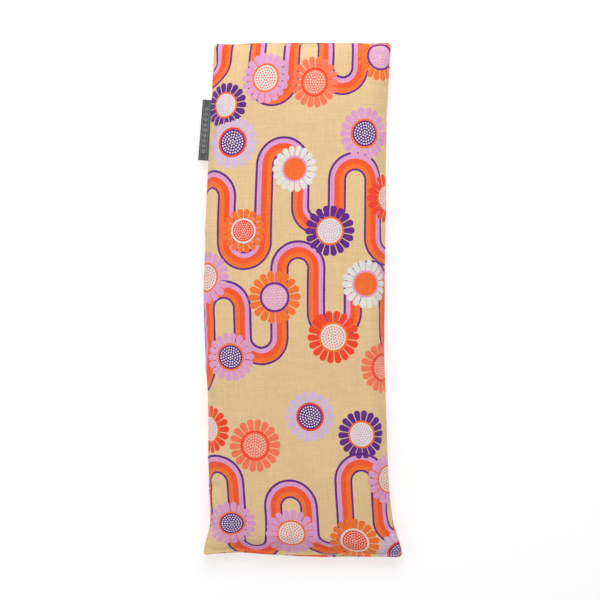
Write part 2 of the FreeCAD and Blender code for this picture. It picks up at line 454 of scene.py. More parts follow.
def with_lip(points, side):
    """Adds the edge-stitched lip at the closed end, and opens the seam for the tab."""
    points = points.copy()
    half_lip = 2 * CLOTH + SEAM_GAP + 0.05 * MM
    from_side = FLAT_WIDTH / 2 - np.abs(FLAT_U)
    corner = ease(from_side / (2.6 * MM))
    along = np.arange(ROWS_ALONG) * STEP
    points[..., 2] += side * half_lip * corner[:, None] * (1 - ease(along / LIP_RISE))[None, :]
    at_tab = ease((TAB_LENGTH / 2 + 3.0 * MM - np.abs(points[0, :, 1] - TAB_MIDDLE_Y)) / (3.0 * MM))
    opening = np.exp(-(np.arange(ROWS_ACROSS) * STEP / (2.5 * MM)) ** 2)
    points[..., 2] += side * TAB_OPENING * at_tab[None, :] * opening[:, None]
    points[..., 2] += side * SEAM_GAP * np.exp(-(from_side[:, None] / (2.0 * MM)) ** 2)
    stitched = LIP_DEPTH / LIP_ROWS
    deep = LIP_DEPTH + LIP_WANDER * wavering(FLAT_U, 47.3, 21.0 * MM)
    unmatched = np.array([bump_at(x, 0.022, 0.034) + 0.6 * bump_at(x, -0.056, 0.02) for x in FLAT_U])
    deep = deep + unmatched * (BACK_LIP_LONGER if side < 0 else -FRONT_LIP_SHORTER)
    root = points[:, 0]
    lip = []
    for k in range(LIP_ROWS, 0, -1):
        row = root.copy()
        row[:, 1] = root[:, 1] - stitched - (deep - stitched) * (k - 1) / (LIP_ROWS - 1)
        spread = np.array([half_width(v) / half_width(LIP_EDGE_Y + LIP_DEPTH) for v in row[:, 1]])
        row[:, 0] = root[:, 0] * spread
        flutter = LIP_FLUTTER * wavering(FLAT_U, 53.9, 9.0 * MM) * k / LIP_ROWS
        row[:, 2] = SEAM_Z + side * (SEAM_GAP + (half_lip - SEAM_GAP) * corner) + flutter * corner
        if k == 1:
            row[:, 2] -= side * STITCH_GROOVE * corner
        lip.append(row)
    whole = np.concatenate([np.stack(lip, axis=1), points], axis=1)
    return round_corners(whole, FLAT_U, COVER_V, COVER_CORNER)


def sewn_panel(name, grid, out, side, u, v, cloth, fold, allowance, end_allowance):
    """A panel with its edges folded in at the seams: u and v are its flat cloth coordinates."""
    step_u = (u[-1] - u[0]) / (len(u) - 1)
    ends = np.array([v[1] - v[0], v[-1] - v[-2]])
    near = fold / step_u
    i_at = np.arange(len(u), dtype=float)
    i_at[0] = near
    i_at[-1] -= near
    j_at = np.arange(len(v), dtype=float)
    j_at[0] = fold / ends[0]
    j_at[-1] -= fold / ends[1]
    flat = np.stack(np.meshgrid(u, v, indexing="ij"), axis=-1)
    points = [between(grid, i_at, j_at).reshape(-1, 3)]
    places = [between(flat, i_at, j_at).reshape(-1, 2)]
    number = np.arange(len(u) * len(v)).reshape(len(u), len(v))
    faces = []

    def quads(low, high):
        a, b, c, d = low[:-1], high[:-1], high[1:], low[1:]
        faces.extend(np.stack([a, b, c, d], axis=1)[:, ::side].tolist())

    for i in range(len(u) - 1):
        quads(number[i], number[i + 1])

    v_of = between(flat, [0.0], j_at)[0, :, 1]
    u_of = between(flat, i_at, [0.0])[:, 0, 0]
    count = len(points[0])
    for edge in ("left", "right", "low", "high"):
        on_side = edge in ("left", "right")
        sign = 1 if edge in ("left", "low") else -1
        if on_side:
            run = np.minimum(v_of - v[0], v[-1] - v_of)
            row = number[0 if sign > 0 else -1]
            deepest = np.minimum(allowance, run)
        else:
            run = np.minimum(u_of - u[0], u[-1] - u_of)
            row = number[:, 0 if sign > 0 else -1]
            deepest = np.minimum(end_allowance if sign > 0 else allowance, run)
        inset = (u - u[0]) if on_side else (v - v[0] if sign > 0 else v[-1] - v[::-1])

        def sample(values, depth):
            index = np.interp(depth, inset, np.arange(len(inset)))
            if sign < 0:
                index = len(inset) - 1 - index
            return value_at(values, index, j_at) if on_side else value_at(values, i_at, index)

        deepest = np.maximum(deepest, 2.2 * fold)
        edge_point = sample(grid, np.zeros(len(row)))
        start = sample(grid, np.full(len(row), fold))
        normal = unit(sample(out, np.full(len(row), fold)))
        inward = unit(start - edge_point)
        along = unit(np.gradient(start, axis=0))
        to_middle = np.where(np.arange(len(row)) < len(row) / 2, 1.0, -1.0)
        inward += along * (to_middle * np.clip(1 - run / (3.5 * MM), 0, 1))[:, None]
        inward = unit(inward - normal * np.sum(inward * normal, axis=1, keepdims=True))
        edge_flat = sample(flat, np.full(len(row), fold))
        away = np.array([-sign, 0.0]) if on_side else np.array([0.0, -sign])
        previous = row
        rows = []
        for degrees in (45, 90, 135, 180):
            turn = math.radians(degrees)
            rows.append((
                start - normal * fold + fold * (normal * math.cos(turn) - inward * math.sin(turn)),
                edge_flat + away * fold * turn,
            ))
        for share in (0.25, 0.5, 0.75, 1.0):
            s = fold + (deepest - fold) * share
            rows.append((
                sample(grid, s) - sample(out, s) * 2 * fold,
                edge_flat + away * (fold * math.pi + (s - fold)[:, None]),
            ))
        for place, at in rows:
            current = count + np.arange(len(row))
            count += len(row)
            points.append(place)
            places.append(at)
            if edge in ("left", "high"):
                quads(current, previous)
            else:
                quads(previous, current)
            previous = current
    piece = new_piece(name, np.concatenate(points), faces)
    lay_flat(piece, np.concatenate(places))
    give_thickness(piece, cloth, -1.0)
    return piece


# ---------------- the print on the cloth

BEND = 17.0
# Winding stripes: where each starts (mm on the flat cloth), which way it goes, its straight runs
WINDING_STRIPES = [
    ((-112, 252), -1, (34, 44, 62, 30, 20, 58, 30, 40)),
    ((-98, 66), 1, (26, 40, 70, 38, 24, 52, 40)),
    ((-116, -30), -1, (30, 52, 26, 62, 40, 22, 40, 40)),
    ((-94, -196), 1, (30, 56, 34, 26, 50, 40, 40)),
]
# Daisies: place on the flat cloth, radius, colourway
DAISIES = [
    (-34, 200, 23, 1), (78, 222, 23, 3), (-72, 176, 21, 5), (14, 196, 23, 0),
    (64, 150, 24, 4), (-62, 142, 24, 2), (-2, 118, 21, 6), (88, 92, 22, 7), (32, 62, 23, 5),
    (-48, 62, 20, 8), (-84, 20, 24, 1), (66, 14, 22, 6), (-18, 2, 24, 3), (36, -34, 24, 7),
    (-60, -52, 22, 4), (84, -62, 23, 0), (12, -106, 23, 2), (-40, -132, 24, 0), (60, -122, 22, 5),
    (-86, -118, 22, 7), (88, -164, 23, 1), (-66, -206, 23, 4), (-10, -214, 24, 1),
    (48, -222, 23, 8), (88, -236, 21, 2),
]
DAISY_RADIUS = 22.6
STRIPE_REACH = 12.0
DAISY_REACH = 1.25
DAISY_TURN = 0.7
NOWHERE = 99.0


def stripe_runs():
    """Each stripe as straight runs and half-round bends."""
    pieces = []
    for (x, y), heading, runs in WINDING_STRIPES:
        for run in runs:
            pieces.append(("run", x, y, heading, run))
            y += heading * run
            pieces.append(("bend", x + BEND, y, heading, BEND))
            x += 2 * BEND
            heading = -heading
    return pieces


def keep_at_corners(mesh, name, kind, field, values):
    layer = mesh.attributes.new(name, kind, "CORNER")
    layer.data.foreach_set(field, values.ravel().astype(np.float32))


def print_on(piece, side):
    """Stores how far each bit of cloth is, in mm, across a stripe and from the nearest daisy."""
    mesh = piece.data
    loops = np.zeros(len(mesh.loops) * 2)
    mesh.uv_layers["cloth"].data.foreach_get("uv", loops)
    place = loops.reshape(-1, 4, 2) / MM
    place[..., 1] *= side
    middle = place.mean(axis=1)
    best = np.full(len(middle), STRIPE_REACH)
    stripe = np.full(place.shape[:2], NOWHERE)
    for kind, from_x, from_y, way, size in stripe_runs():
        x, y = middle[:, 0] - from_x, middle[:, 1] - from_y
        corner_x, corner_y = place[..., 0] - from_x, place[..., 1] - from_y
        if kind == "run":
            distance = np.hypot(x, y - np.clip(y * way, 0, size) * way)
            across = corner_x * way
        else:
            distance = np.where(y * way >= 0, np.abs(np.hypot(x, y) - size), NOWHERE)
            across = (size - np.hypot(corner_x, corner_y)) * way
        closer = distance < best
        best = np.where(closer, distance, best)
        stripe = np.where(closer[:, None], across, stripe)
    nearest = np.full(len(middle), DAISY_REACH)
    daisy = np.full(place.shape, NOWHERE)
    colourway = np.zeros(len(middle))
    for k, (x, y, radius, kind) in enumerate(DAISIES):
        distance = np.hypot(middle[:, 0] - x, middle[:, 1] - y) / radius
        closer = distance < nearest
        nearest = np.where(closer, distance, nearest)
        dx = (place[..., 0] - x) * DAISY_RADIUS / radius
        dy = (place[..., 1] - y) * DAISY_RADIUS / radius
        c, s = math.cos(DAISY_TURN * k), math.sin(DAISY_TURN * k)
        turned = np.stack([dx * c + dy * s, dy * c - dx * s], axis=-1)
        daisy = np.where(closer[:, None, None], turned, daisy)
        colourway = np.where(closer, kind, colourway)
    lifted = np.concatenate([daisy, np.zeros(daisy.shape[:2] + (1,))], axis=-1)
    keep_at_corners(mesh, "stripe_across", "FLOAT", "value", stripe)
    keep_at_corners(mesh, "daisy_place", "FLOAT_VECTOR", "vector", lifted)
    keep_at_corners(mesh, "daisy_colourway", "FLOAT", "value", np.repeat(colourway, 4))


# ---------------- materials

def colour(r, g, b):
    """A colour as paint charts give it, 0 to 255, as the renderer wants it."""
    def linear(c):
        return ((c / 255.0 + 0.055) / 1.055) ** 2.4 if c > 10 else c / 3294.6

    return linear(r), linear(g), linear(b), 1.0


SAND = colour(233, 199, 149)
CORAL = colour(252, 119, 86)
RED = colour(248, 62, 34)
FLAME = colour(250, 84, 38)
ORANGE = colour(250, 116, 42)
LILAC = colour(226, 160, 206)
PALE_LILAC = colour(216, 190, 220)
PURPLE = colour(94, 22, 136)
WHITE = colour(230, 229, 224)
BLUSH = colour(244, 212, 198)

# Colourways of the daisies: petals, ring, middle, seeds
PETALS = [CORAL, LILAC, PALE_LILAC, ORANGE, LILAC, PURPLE, WHITE, RED, ORANGE]
RINGS = [RED, ORANGE, RED, PURPLE, ORANGE, ORANGE, LILAC, ORANGE, WHITE]
MIDDLES = [CORAL, WHITE, PURPLE, LILAC, PURPLE, WHITE, ORANGE, WHITE, RED]
SEEDS = [BLUSH, FLAME, WHITE, BLUSH, WHITE, LILAC, FLAME, CORAL, BLUSH]


class Recipe:
    """Shorthand for building a node tree. Values are numbers, colours or other nodes' outputs."""

    def __init__(self, tree):
        self.tree = tree

    def add(self, kind, values=None, **settings):
        node = self.tree.nodes.new(kind)
        for key, value in settings.items():
            setattr(node, key, value)
        for key, value in (values or {}).items():
            self.feed(node.inputs[key], value)
        return node

    def feed(self, socket, value):
        if isinstance(value, bpy.types.NodeSocket):
            self.tree.links.new(value, socket)
        else:
            socket.default_value = value

    def math(self, operation, *values):
        node = self.add("ShaderNodeMath", operation=operation)
        for socket, value in zip(node.inputs, values):
            self.feed(socket, value)
        return node.outputs[0]

    def plus(self, a, b):
        return self.math("ADD", a, b)

    def minus(self, a, b):
        return self.math("SUBTRACT", a, b)

    def times(self, a, b):
        return self.math("MULTIPLY", a, b)

    def below(self, a, b):
        return self.math("LESS_THAN", a, b)

    def size_of(self, a):
        return self.math("ABSOLUTE", a)

    def split(self, value):
        return self.add("ShaderNodeSeparateXYZ", {0: value}).outputs

    def scaled(self, value, by):
        node = self.add("ShaderNodeVectorMath", {0: value, "Scale": by}, operation="SCALE")
        return node.outputs["Vector"]

    def vector(self, operation, *values):
        node = self.add("ShaderNodeVectorMath", operation=operation)
        for socket, value in zip(node.inputs, values):
            self.feed(socket, value)
        return node.outputs["Vector"]

    def mix(self, share, first, second, blend="MIX"):
        node = self.add("ShaderNodeMix", data_type="RGBA", blend_type=blend)
        self.feed(node.inputs[0], share)
        self.feed(node.inputs[6], first)
        self.feed(node.inputs[7], second)
        return node.outputs[2]

    def noise(self, place, scale, detail=2.0, roughness=0.5):
        values = {"Vector": place, "Scale": scale, "Detail": detail, "Roughness": roughness}
        return self.add("ShaderNodeTexNoise", values).outputs["Fac"]

    def between(self, value, low, high, to_low=0.0, to_high=1.0):
        values = {0: value, 1: low, 2: high, 3: to_low, 4: to_high}
        return self.add("ShaderNodeMapRange", values).outputs[0]

    def choice(self, value, colours, starts):
        node = self.add("ShaderNodeValToRGB")
        ramp = node.color_ramp
        ramp.interpolation = "CONSTANT"
        while len(ramp.elements) < len(colours):
            ramp.elements.new(1.0)
        for element, start, tone in zip(ramp.elements, starts, colours):
            element.position = start
            element.color = tone
        self.feed(node.inputs[0], value)
        return node.outputs[0]


FLOAT = "NodeSocketFloat"
VECTOR = "NodeSocketVector"
GEOMETRY = "NodeSocketGeometry"


def new_group(name, inputs, outputs):
    tree = bpy.data.node_groups.new(name, "ShaderNodeTree")
    for label, kind, value in inputs:
        socket = tree.interface.new_socket(label, in_out="INPUT", socket_type=kind)
        if value is not None:
            socket.default_value = value
    for label, kind in outputs:
        tree.interface.new_socket(label, in_out="OUTPUT", socket_type=kind)
    recipe = Recipe(tree)
    return tree, recipe, recipe.add("NodeGroupInput").outputs, recipe.add("NodeGroupOutput").inputs


def woven_threads():
    """Plain weave with uneven yarn: one over, one under."""
    tree, r, given, out = new_group(
        "woven threads",
        [
            ("Place", VECTOR, None),
            ("Threads per metre", FLOAT, 2000.0),
            ("Slub", FLOAT, 0.5),
        ],
        [("Height", FLOAT), ("Painted shade and slub", FLOAT)],
    )
    values = {"Vector": given["Place"], "Scale": 90.0, "Detail": 2.0}
    wander = r.add("ShaderNodeTexNoise", values).outputs["Color"]
    wander = r.scaled(r.vector("SUBTRACT", wander, (0.5, 0.5, 0.5)), 0.0016)
    threads = r.scaled(r.vector("ADD", given["Place"], wander), given["Threads per metre"])
    u, v = r.split(threads)[:2]
    heights = []
    for own, other, phase in ((u, v, -0.5), (v, u, 0.5)):
        round_thread = r.size_of(r.math("SINE", r.times(own, math.pi)))
        over = r.plus(r.plus(other, r.math("FLOOR", own)), phase)
        over = r.math("COSINE", r.times(over, math.pi))
        heights.append(r.times(round_thread, r.math("MULTIPLY_ADD", over, 0.35, 0.65)))
    height = r.math("MAXIMUM", *heights)
    slubs = []
    for stretch, shift in (((0.42, 0.016, 1.0), 0.0), ((0.016, 0.42, 1.0), 7.3)):
        along = r.vector("ADD", r.vector("MULTIPLY", threads, stretch), (shift, shift, 0.0))
        slubs.append(r.noise(along, 1.0, 3.0, 0.62))
    slub = r.times(r.minus(r.plus(*slubs), 1.0), given["Slub"])
    r.feed(out["Height"], r.plus(height, slub))
    # This colour output is painted shade between the threads, darker where the weave is low, plus the
    # yarn's random slub tone.
    r.feed(out["Painted shade and slub"], r.plus(r.between(height, 0.0, 1.0, 0.90, 1.02), slub))
    return tree


def daisy_shapes():
    """Masks of a plain daisy about its own middle, in mm, with its seeds in rings."""
    parts = ("Petal", "Ring", "Middle", "Seed")
    tree, r, given, out = new_group(
        "daisy",
        [("Place", VECTOR, None), ("Petals", FLOAT, 18.0)],
        [(part, FLOAT) for part in parts],
    )
    tip, width, ring, middle, seed_pitch, seed, bare_edge = 19.6, 3.0, 12.8, 11.0, 2.25, 0.72, 1.2
    x, y = r.split(given["Place"])[:2]

    def far(a, b):
        return r.math("SQRT", r.plus(r.times(a, a), r.times(b, b)))

    reach = far(x, y)
    angle = r.math("ARCTAN2", y, x)

    def folded(half_step):
        local = r.math("WRAP", angle, half_step, r.times(half_step, -1.0))
        return r.times(reach, r.math("COSINE", local)), r.times(reach, r.math("SINE", local))

    along, across = folded(r.math("DIVIDE", math.pi, given["Petals"]))
    across = r.size_of(across)
    shaft = r.times(r.below(along, tip), r.below(across, r.times(along, width / tip)))
    cap = r.below(far(r.minus(along, tip), across), width)
    r.feed(out["Petal"], r.math("MAXIMUM", shaft, cap))
    r.feed(out["Ring"], r.below(reach, ring))
    r.feed(out["Middle"], r.below(reach, middle))
    row = r.math("ROUND", r.math("DIVIDE", reach, seed_pitch))
    half = r.math("DIVIDE", math.pi, r.math("MAXIMUM", r.times(row, 6.0), 1.0))
    along, across = folded(half)
    dot = r.below(far(r.minus(along, r.times(row, seed_pitch)), across), seed)
    r.feed(out["Seed"], r.times(dot, r.below(reach, middle - bare_edge)))
    return tree


WEAVE = woven_threads()
DAISY = daisy_shapes()


def new_material(name):
    material = bpy.data.materials.new(name)
    material.use_nodes = True
    material.node_tree.nodes.clear()
    r = Recipe(material.node_tree)
    surface = r.add("ShaderNodeBsdfPrincipled")
    output = r.add("ShaderNodeOutputMaterial")
    material.node_tree.links.new(surface.outputs[0], output.inputs[0])
    return material, r, surface


def woven(r, place, threads, slub):
    values = {"Place": place, "Threads per metre": threads, "Slub": slub}
    return r.add("ShaderNodeGroup", values, node_tree=WEAVE).outputs


def dyed_with(r, surface, dye, tone, roughness):
    r.feed(surface.inputs["Base Color"], r.scaled(dye, tone))
    r.feed(surface.inputs["Roughness"], roughness)


def bumped(r, surface, height, strength, distance):
    bump = r.add("ShaderNodeBump", {"Strength": strength, "Distance": distance, "Height": height})
    r.feed(surface.inputs["Normal"], bump.outputs[0])


STRIPE_HALF = 8.5
STRIPE_EDGES = (-8.5, -6.4, -2.4, 2.5, 6.6)
STRIPE_DYES = [PURPLE, LILAC, FLAME, ORANGE, PURPLE]
WEAVE_BUMP = 0.12 * MM


def printed_cloth():
    material, r, surface = new_material("printed plain-weave cloth")
    place = r.add("ShaderNodeUVMap", uv_map="cloth").outputs[0]
    weave = woven(r, place, 1900.0, 0.27)

    def kept(name, output):
        return r.add("ShaderNodeAttribute", attribute_name=name).outputs[output]

    values = {"Vector": place, "Scale": 1300.0, "Detail": 1.0}
    bleed = r.vector("SUBTRACT", r.add("ShaderNodeTexNoise", values).outputs["Color"], (0.5, 0.5, 0.5))
    bleed = r.vector("MULTIPLY", bleed, (0.5, 0.5, 0.0))
    across = r.plus(kept("stripe_across", "Fac"), r.split(bleed)[0])
    band = r.between(across, -STRIPE_HALF, STRIPE_HALF)
    starts = [(edge + STRIPE_HALF) / (2 * STRIPE_HALF) for edge in STRIPE_EDGES]
    on_band = r.below(r.size_of(across), STRIPE_HALF)
    dyed = r.mix(on_band, SAND, r.choice(band, STRIPE_DYES, starts))
    kinds = len(PETALS)
    kind = r.math("DIVIDE", r.plus(kept("daisy_colourway", "Fac"), 0.5), kinds)
    at_daisy = r.vector("ADD", kept("daisy_place", "Vector"), bleed)
    daisy = r.add("ShaderNodeGroup", {"Place": at_daisy, "Petals": 18.0}, node_tree=DAISY).outputs
    starts = [k / kinds for k in range(kinds)]
    for part, dyes in (("Petal", PETALS), ("Ring", RINGS), ("Middle", MIDDLES), ("Seed", SEEDS)):
        dyed = r.mix(daisy[part], dyed, r.choice(kind, dyes, starts))
    inked = r.math("MULTIPLY_ADD", r.noise(place, 260.0, 3.0, 0.7), 0.12, 0.91)
    cloudy = r.between(r.noise(place, 28.0, 2.0), 0.3, 0.7, 0.975, 1.02)
    dyed = r.mix(inked, SAND, dyed)
    # tone: the weave's painted shade between the threads, with its slub, times a random cloudy tone in
    # the cloth
    tone = r.times(weave["Painted shade and slub"], cloudy)
    dyed_with(r, surface, dyed, tone, r.between(weave["Height"], 0.2, 1.0, 0.93, 0.8))
    surface.inputs["Specular IOR Level"].default_value = 0.25
    surface.inputs["Sheen Weight"].default_value = 0.12
    surface.inputs["Sheen Roughness"].default_value = 0.5
    bumped(r, surface, weave["Height"], 0.35, WEAVE_BUMP)
    return material


def calico():
    material, r, surface = new_material("unbleached calico")
    place = r.add("ShaderNodeUVMap", uv_map="cloth").outputs[0]
    weave = woven(r, place, 1600.0, 0.3)
    flecks = r.between(r.noise(place, 420.0, 3.0), 0.66, 0.74, 0.0, 0.5)
    dyed = r.mix(flecks, colour(222, 212, 188), colour(176, 152, 112))
    # The weave's painted shade between the threads, with its slub, darkens the calico's colour.
    dyed_with(r, surface, dyed, weave["Painted shade and slub"], r.between(weave["Height"], 0.2, 1.0, 0.95, 0.84))
    surface.inputs["Sheen Weight"].default_value = 0.15
    bumped(r, surface, weave["Height"], 0.4, WEAVE_BUMP)
    return material


def sewing_thread(name, tone):
    material, r, surface = new_material(name)
    place = r.add("ShaderNodeTexCoord").outputs["Object"]
    values = {"Vector": place, "Scale": 900.0, "Distortion": 1.5}
    twist = r.add("ShaderNodeTexWave", values, bands_direction="DIAGONAL").outputs["Fac"]
    fibres = r.noise(place, 4000.0, 2.0)
    # shade: painted shade in the grooves of the twist, the same bands as its bump, plus random fibre
    # tone
    shade = r.math("MULTIPLY_ADD", twist, 0.16, r.math("MULTIPLY_ADD", fibres, 0.14, 0.78))
    dyed_with(r, surface, tone[:3], shade, r.between(fibres, 0.3, 0.7, 0.55, 0.7))
    surface.inputs["Sheen Weight"].default_value = 0.2
    bumped(r, surface, twist, 0.4, 0.05 * MM)
    return material


def dry_grain():
    material, r, surface = new_material("dry grain")
    place = r.add("ShaderNodeTexCoord").outputs["Object"]
    values = {"Vector": r.vector("MULTIPLY", place, (1.0, 0.6, 1.0)), "Scale": 300.0, "Randomness": 1.0}
    grains = r.add("ShaderNodeTexVoronoi", values).outputs
    husk = r.between(r.split(grains["Color"])[0], 0.0, 1.0)
    # Each kernel is darker towards its edge: painted shade in the gaps between kernels. The same value
    # gives the bump and the roughness.
    grain_height_and_shade = r.between(grains["Distance"], 0.0, 0.75, 1.0, 0.35)
    dyed = r.mix(husk, colour(205, 164, 108), colour(160, 112, 62))
    dyed_with(r, surface, dyed, grain_height_and_shade, r.between(grain_height_and_shade, 0.3, 1.0, 0.8, 0.5))
    bumped(r, surface, grain_height_and_shade, 0.8, 1.2 * MM)
    return material


LOZENGE_ROW = 4.1 * MM
LOZENGE_PITCH = 2.4 * MM
LOZENGE_OUTER = 1.9 * MM
LOZENGE_INNER = 1.1 * MM
ROW_HALF_LENGTH = 21.5 * MM
LINE_FROM_ROW = 2.7 * MM
LINE_HALF = 0.22 * MM


def tab_tape():
    """Charcoal woven tape with a plain woven row of lozenges."""
    material, r, surface = new_material("woven tape")
    place = r.add("ShaderNodeUVMap", uv_map="cloth").outputs[0]
    weave = woven(r, place, 2600.0, 0.2)
    across, along = r.split(place)[:2]
    from_row = r.size_of(r.minus(r.size_of(across), LOZENGE_ROW))
    size = r.plus(from_row, r.math("PINGPONG", along, LOZENGE_PITCH))
    lozenge = r.minus(r.below(size, LOZENGE_OUTER), r.below(size, LOZENGE_INNER))
    in_row = r.below(r.size_of(along), ROW_HALF_LENGTH)
    lines = r.below(r.size_of(r.minus(from_row, LINE_FROM_ROW)), LINE_HALF)
    figure = r.math("MAXIMUM", r.times(lozenge, in_row), r.times(lines, 0.55))
    dyed = r.mix(figure, colour(74, 77, 79), colour(150, 152, 155))
    # tone: the weave's painted shade between the threads, made stronger, with its slub
    tone = r.between(weave["Painted shade and slub"], 0.8, 1.1, 0.72, 1.12)
    dyed_with(r, surface, dyed, tone, r.between(weave["Height"], 0.2, 1.0, 0.75, 0.5))
    surface.inputs["Sheen Weight"].default_value = 0.1
    bumped(r, surface, weave["Height"], 0.5, WEAVE_BUMP)
    return material


CLOTH_PRINT = printed_cloth()
CALICO = calico()
SAND_THREAD = sewing_thread("sand sewing thread", colour(226, 196, 150))
PALE_THREAD = sewing_thread("undyed sewing thread", colour(228, 220, 202))
GRAIN = dry_grain()
TAB_TAPE = tab_tape()


# ---------------- stitches

def stitch_row():
    """Lays stitches one after another along an edge path."""
    tree = bpy.data.node_groups.new("row of stitches", "GeometryNodeTree")
    for label, kind, value in (
        ("Path", GEOMETRY, None),
        ("Pitch", FLOAT, 3.0 * MM),
        ("Stitch length", FLOAT, 2.5 * MM),
        ("Thread", FLOAT, 0.3 * MM),
        ("Unevenness", FLOAT, 0.06),
        ("Seed", "NodeSocketInt", 0),
        ("Finish", "NodeSocketMaterial", None),
    ):
        socket = tree.interface.new_socket(label, in_out="INPUT", socket_type=kind)
        if value is not None:
            socket.default_value = value
    tree.interface.new_socket("Stitches", in_out="OUTPUT", socket_type=GEOMETRY)
    r = Recipe(tree)
    given = r.add("NodeGroupInput").outputs

    def step(kind, values, **settings):
        return r.add(kind, values, **settings).outputs[0]

    path = step("GeometryNodeMeshToCurve", {0: given["Path"]})
    points = step("GeometryNodeResampleCurve", {"Curve": path, "Length": given["Pitch"]}, mode="LENGTH")
    thread = step("GeometryNodeMeshUVSphere", {"Segments": 6, "Rings": 5, "Radius": 0.5})
    sizes = {"X": given["Thread"], "Y": given["Thread"], "Z": given["Stitch length"]}
    size = step("ShaderNodeCombineXYZ", sizes)
    stitch = step("GeometryNodeTransform", {"Geometry": thread, "Scale": size})
    spread = r.add("FunctionNodeRandomValue", {"Seed": given["Seed"]}, data_type="FLOAT_VECTOR")
    r.feed(spread.inputs[0], (-1.0, -1.0, -1.0))
    r.feed(spread.inputs[1], (1.0, 1.0, 1.0))
    wobble = r.scaled(spread.outputs[0], given["Unevenness"])
    heading = r.vector("ADD", step("GeometryNodeInputTangent", {}), wobble)
    turned = step("FunctionNodeAlignRotationToVector", {"Vector": heading}, axis="Z")
    laid = {"Points": points, "Instance": stitch, "Rotation": turned}
    real = step("GeometryNodeRealizeInstances", {0: step("GeometryNodeInstanceOnPoints", laid)})
    finished = step("GeometryNodeSetMaterial", {"Geometry": real, "Material": given["Finish"]})
    r.feed(r.add("NodeGroupOutput").inputs[0], finished)
    return tree


STITCH_ROW = stitch_row()


def stitches(name, paths, pitch, length, thread, finish, seed):
    points = []
    edges = []
    for path in paths:
        start = len(points)
        points.extend(path)
        edges.extend((start + k, start + k + 1) for k in range(len(path) - 1))
    piece = new_piece(name, points, [], edges)
    row = piece.modifiers.new("stitches", "NODES")
    row.node_group = STITCH_ROW
    values = {"Pitch": pitch, "Stitch length": length, "Thread": thread, "Seed": seed, "Finish": finish}
    for item in STITCH_ROW.interface.items_tree:
        if item.item_type == "SOCKET" and item.in_out == "INPUT" and item.name in values:
            row[item.identifier] = values[item.name]
    settle(piece)
    return piece


# ---------------- the cover

def cover():
    pieces = []
    grids = []
    for side, word, smooth, out in SIDES:
        grid = with_lip(lying_cloth(smooth, out, side), side)
        panel = sewn_panel(
            f"cover_{word}", grid, outward(grid, side), side, FLAT_U, COVER_V,
            CLOTH, COVER_FOLD, COVER_ALLOWANCE, LIP_DEPTH + COVER_ALLOWANCE,
        )
        print_on(panel, side)
        dress(panel, CLOTH_PRINT)
        pieces.append(panel)
        grids.append(grid)
    return pieces, grids


(COVER_FRONT, COVER_BACK), (FRONT_CLOTH, BACK_CLOTH) = cover()


def seam_path(front, back, index, inwards, depth):
    """Along the seam between two panels, a little inside its edge."""
    path = (front[index] + back[index]) / 2 + np.array(inwards) * depth
    path[:, 2] = SEAM_Z
    return path


# Pitch, length and thread of each kind of stitch
SEAM_STITCH = (2.6 * MM, 2.3 * MM, 0.3 * MM)
EDGE_STITCH = (3.0 * MM, 2.5 * MM, 0.34 * MM)
BAG_EDGE_STITCH = (3.0 * MM, 2.5 * MM, 0.3 * MM)
COVER_SEAM_IN = 0.75 * MM
BAG_SEAM_IN = 0.6 * MM

past_lip = slice(LIP_ROWS + 2, -2)
COVER_SEAMS = (
    ("left", (0, past_lip), (1, 0, 0)),
    ("right", (-1, past_lip), (-1, 0, 0)),
    ("top", (slice(3, -3), -1), (0, -1, 0)),
)
SEAM_STITCHES = []
for seed, (edge, index, inwards) in enumerate(COVER_SEAMS):
    path = seam_path(FRONT_CLOTH, BACK_CLOTH, index, inwards, COVER_SEAM_IN)
    SEAM_STITCHES.append(stitches(f"{edge}_seam_stitches", [path], *SEAM_STITCH, SAND_THREAD, seed))
closing = [
    grid[3:-3, LIP_ROWS - 1] + np.array([0, 0, side * 0.07 * MM])
    for side, grid in ((1, FRONT_CLOTH), (-1, BACK_CLOTH))
]
CLOSING_STITCHES = stitches("closing_stitches", closing, *EDGE_STITCH, SAND_THREAD, 5)


# ---------------- the inner bag and its grain

EVERY = 2  # the inner pieces take every second row of the cover's grid
DRAWN_BACK = 6.0 * MM
DRAWN_BACK_REACH = 20.0 * MM
INNER_CORNER = 6.0 * MM


def inner_grid(smooth, out, depth):
    """A shape inside the cover, drawn back from its corners, where the grain never packs."""
    grid = (smooth - out * depth)[::EVERY, ::EVERY]
    u, v = np.meshgrid(FLAT_U[::EVERY], FLAT_V[::EVERY], indexing="ij")
    from_corner = np.hypot(FLAT_WIDTH / 2 - np.abs(u), FLAT_LENGTH / 2 - np.abs(v))
    drawn = np.exp(-(from_corner / DRAWN_BACK_REACH) ** 2)
    grid[..., 0] -= np.sign(u) * DRAWN_BACK * drawn
    grid[..., 1] -= np.sign(v) * DRAWN_BACK * drawn
    grid[..., 2] = SEAM_Z + (grid[..., 2] - SEAM_Z) * (1 - 0.3 * drawn)
    return round_corners(grid, FLAT_U[::EVERY], FLAT_V[::EVERY], INNER_CORNER)


def inner_bag():
    pieces = []
    grids = []
    u, v = FLAT_U[::EVERY] * BAG_NARROWER, FLAT_V[::EVERY] * BAG_SHORTER
    for side, word, smooth, out in SIDES:
        grid = inner_grid(smooth, out, BAG_DEPTH)
        grid[[0, -1], :, 2] += side * SEAM_GAP
        grid[:, [0, -1], 2] += side * SEAM_GAP
        panel = sewn_panel(
            f"bag_{word}", grid, outward(grid, side), side, u, v,
            BAG_CLOTH, BAG_FOLD, BAG_ALLOWANCE, BAG_ALLOWANCE,
        )
        dress(panel, CALICO)
        pieces.append(panel)
        grids.append(grid)
    return pieces, grids


(BAG_FRONT, BAG_BACK), (BAG_FRONT_GRID, BAG_BACK_GRID) = inner_bag()


def bag_seam(index, inwards):
    return seam_path(BAG_FRONT_GRID, BAG_BACK_GRID, index, inwards, BAG_SEAM_IN)


